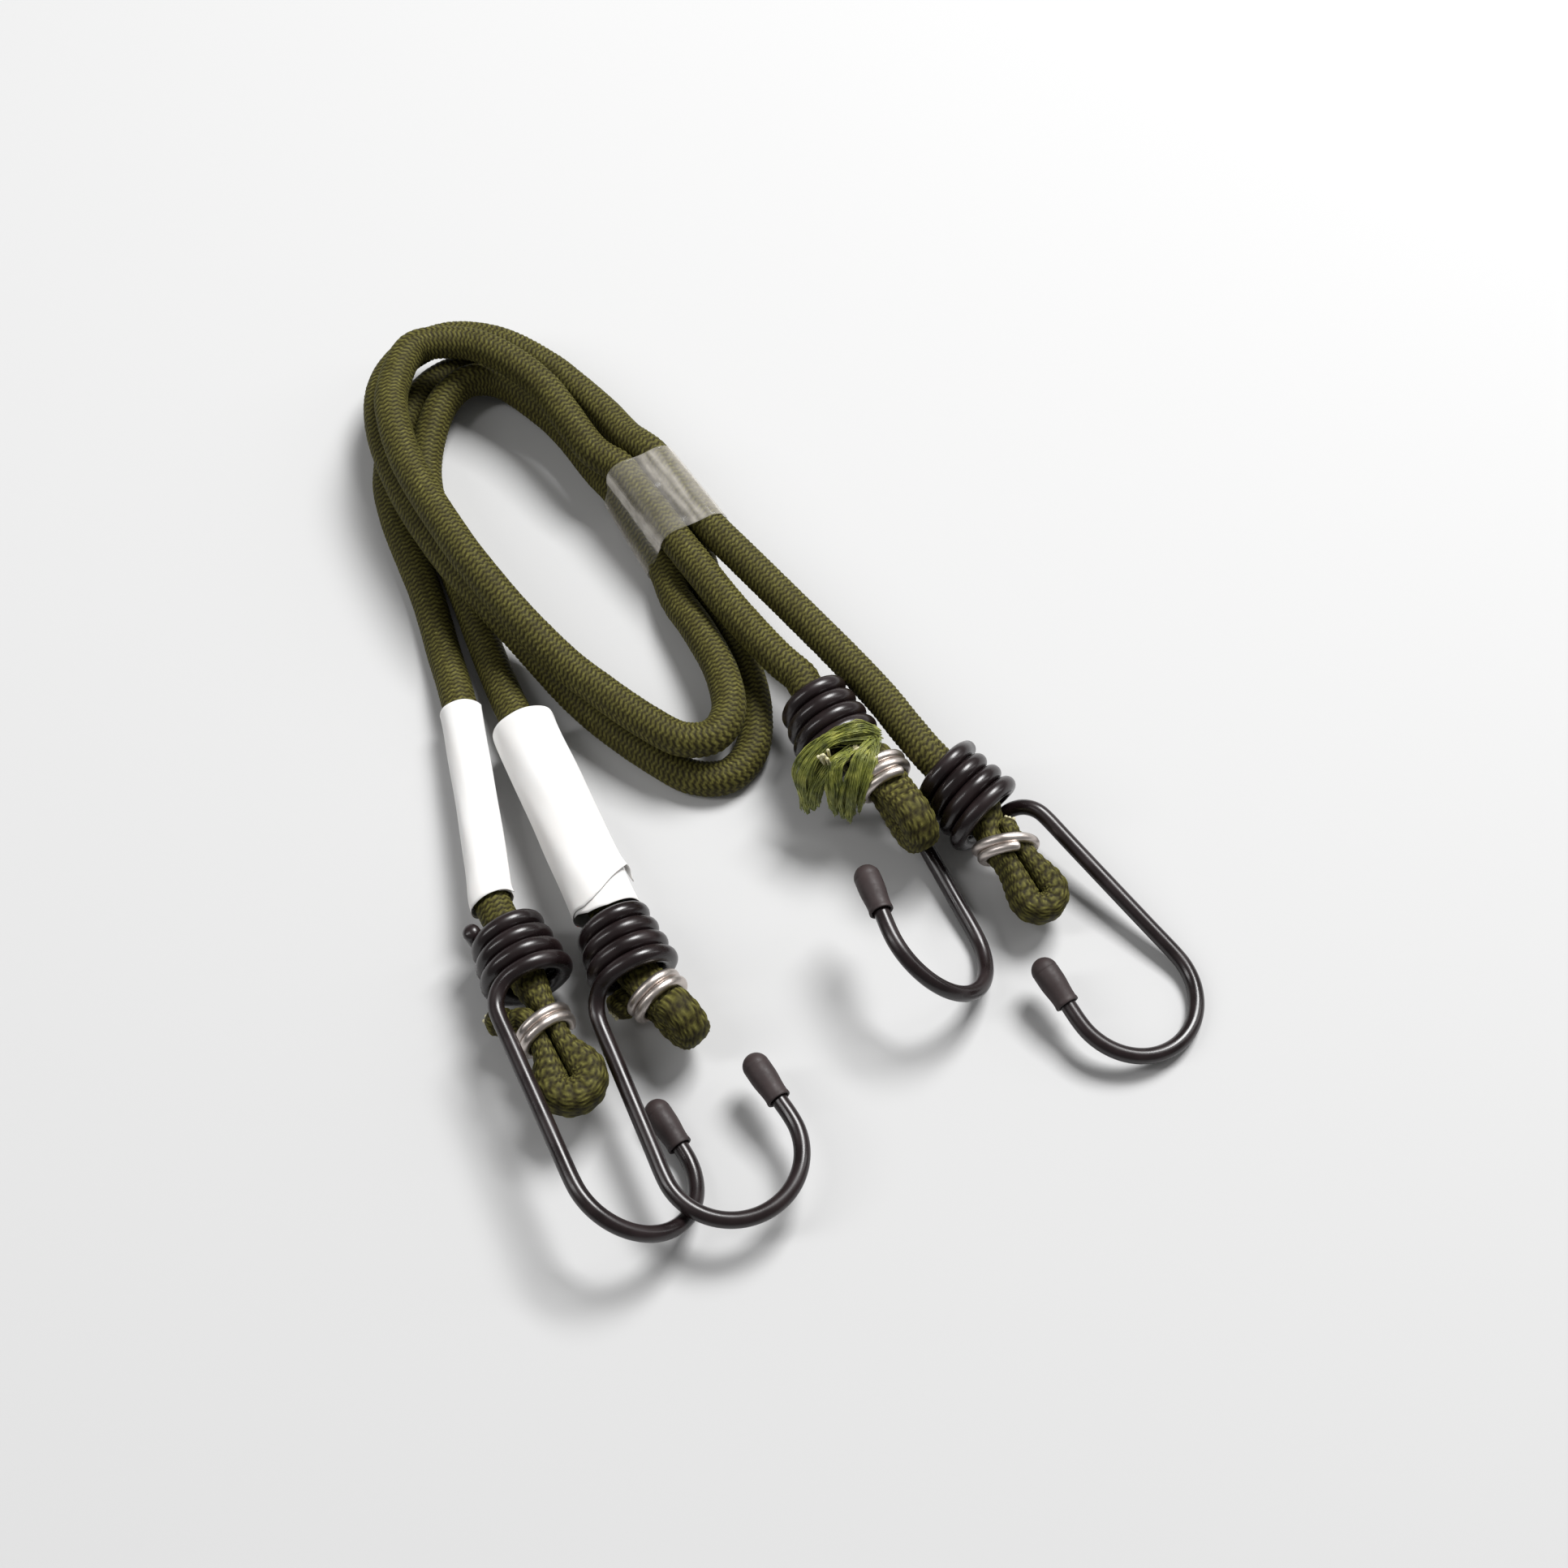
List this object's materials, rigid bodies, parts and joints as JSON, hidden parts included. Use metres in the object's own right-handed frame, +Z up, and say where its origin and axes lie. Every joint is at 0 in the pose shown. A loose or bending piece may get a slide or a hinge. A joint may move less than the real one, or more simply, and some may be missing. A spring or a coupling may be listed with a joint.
{
  "type": "bungee cord",
  "caption": "Elastic braided cords with coil-wound wire hooks, folded into a hank held by clear tape, for tying loads to bars, racks and eyes.",
  "frame": {"origin": "middle of the outline's box, on the surface that the hank lies on", "axes": "+Z up; the hooks point towards -Y, and the folded cord towards +Y and -X"},
  "size_m": [0.1926, 0.2378, 0.0271],
  "materials": {
    "cord": "braided",
    "fray": "loose threads",
    "core": "matte",
    "wire": "gloss",
    "cap": "matte",
    "ring": "bright nickel",
    "paper": "matte",
    "tape": "clear gloss"
  },
  "bodies": {
    "hank": {"inner_cord_loop": "cord", "inner_cord_lead_left": "cord", "inner_cord_lead_right": "cord", "outer_cord_loop": "cord", "outer_cord_lead_left": "cord", "outer_cord_lead_right": "cord", "tape_band": "tape"},
    "end_left_outer": {"cord_end_left_outer": "cord", "core_left_outer": "core", "clamp_ring_left_outer": "ring"},
    "hook_left_outer": {"hook_left_outer": "wire", "hook_tip_left_outer": "cap"},
    "end_left_inner": {"cord_end_left_inner": "cord", "core_left_inner": "core", "clamp_ring_left_inner": "ring"},
    "hook_left_inner": {"hook_left_inner": "wire", "hook_tip_left_inner": "cap"},
    "end_right_outer": {"cord_end_right_outer": "cord", "core_right_outer": "core", "clamp_ring_right_outer": "ring"},
    "hook_right_outer": {"hook_right_outer": "wire", "hook_tip_right_outer": "cap"},
    "end_right_inner": {"cord_end_right_inner": "cord", "core_right_inner": "core", "clamp_ring_right_inner": "ring", "frayed_tail_right_inner": "fray"},
    "hook_right_inner": {"hook_right_inner": "wire", "hook_tip_right_inner": "cap"},
    "sleeve_left_outer": {"paper_sleeve_left_outer": "paper"},
    "sleeve_left_inner": {"paper_sleeve_left_inner": "paper"}
  },
  "joints": [
    {"name": "stretch_left_outer", "type": "slide", "parent": "hank", "child": "end_left_outer", "axis": [0.4107, -0.9118, 0], "range_m": [0, 0.03], "stiffness_N_per_m": 2000},
    {"name": "swivel_left_outer", "type": "hinge", "parent": "end_left_outer", "child": "hook_left_outer", "pos_m": [-0.0475, -0.0607, 0.01055], "axis": [0.427, -0.9034, 0.0384], "range_deg": [-90, 0]},
    {"name": "stretch_left_inner", "type": "slide", "parent": "hank", "child": "end_left_inner", "axis": [0.4107, -0.9118, 0], "range_m": [0, 0.03], "stiffness_N_per_m": 2000},
    {"name": "swivel_left_inner", "type": "hinge", "parent": "end_left_inner", "child": "hook_left_inner", "pos_m": [-0.0252, -0.0592, 0.01055], "axis": [0.3939, -0.9191, -0.0105], "range_deg": [-55, 0]},
    {"name": "stretch_right_outer", "type": "slide", "parent": "hank", "child": "end_right_outer", "axis": [0.6639, -0.7478, 0], "range_m": [0, 0.03], "stiffness_N_per_m": 2000},
    {"name": "swivel_right_outer", "type": "hinge", "parent": "end_right_outer", "child": "hook_right_outer", "pos_m": [0.0507, -0.022, 0.01205], "axis": [0.6558, -0.7386, -0.1564], "range_deg": [-130, 130]},
    {"name": "stretch_right_inner", "type": "slide", "parent": "hank", "child": "end_right_inner", "axis": [0.4446, -0.8957, 0], "range_m": [0, 0.03], "stiffness_N_per_m": 2000},
    {"name": "swivel_right_inner", "type": "hinge", "parent": "end_right_inner", "child": "hook_right_inner", "pos_m": [0.019, -0.0054, 0.01305], "axis": [0.4432, -0.8928, -0.0802], "range_deg": [-90, 10]},
    {"name": "slip_left_outer", "type": "slide", "parent": "hank", "child": "sleeve_left_outer", "axis": [0.2161, -0.9745, 0.0599], "range_m": [-0.005, 0.002]},
    {"name": "slip_left_inner", "type": "slide", "parent": "hank", "child": "sleeve_left_inner", "axis": [0.3937, -0.9186, 0.035], "range_m": [-0.006, 0]}
  ],
  "couplings": [
    {"joint": "stretch_left_inner", "follows": "stretch_left_outer", "ratio": 1},
    {"joint": "stretch_right_inner", "follows": "stretch_right_outer", "ratio": 1}
  ]
}
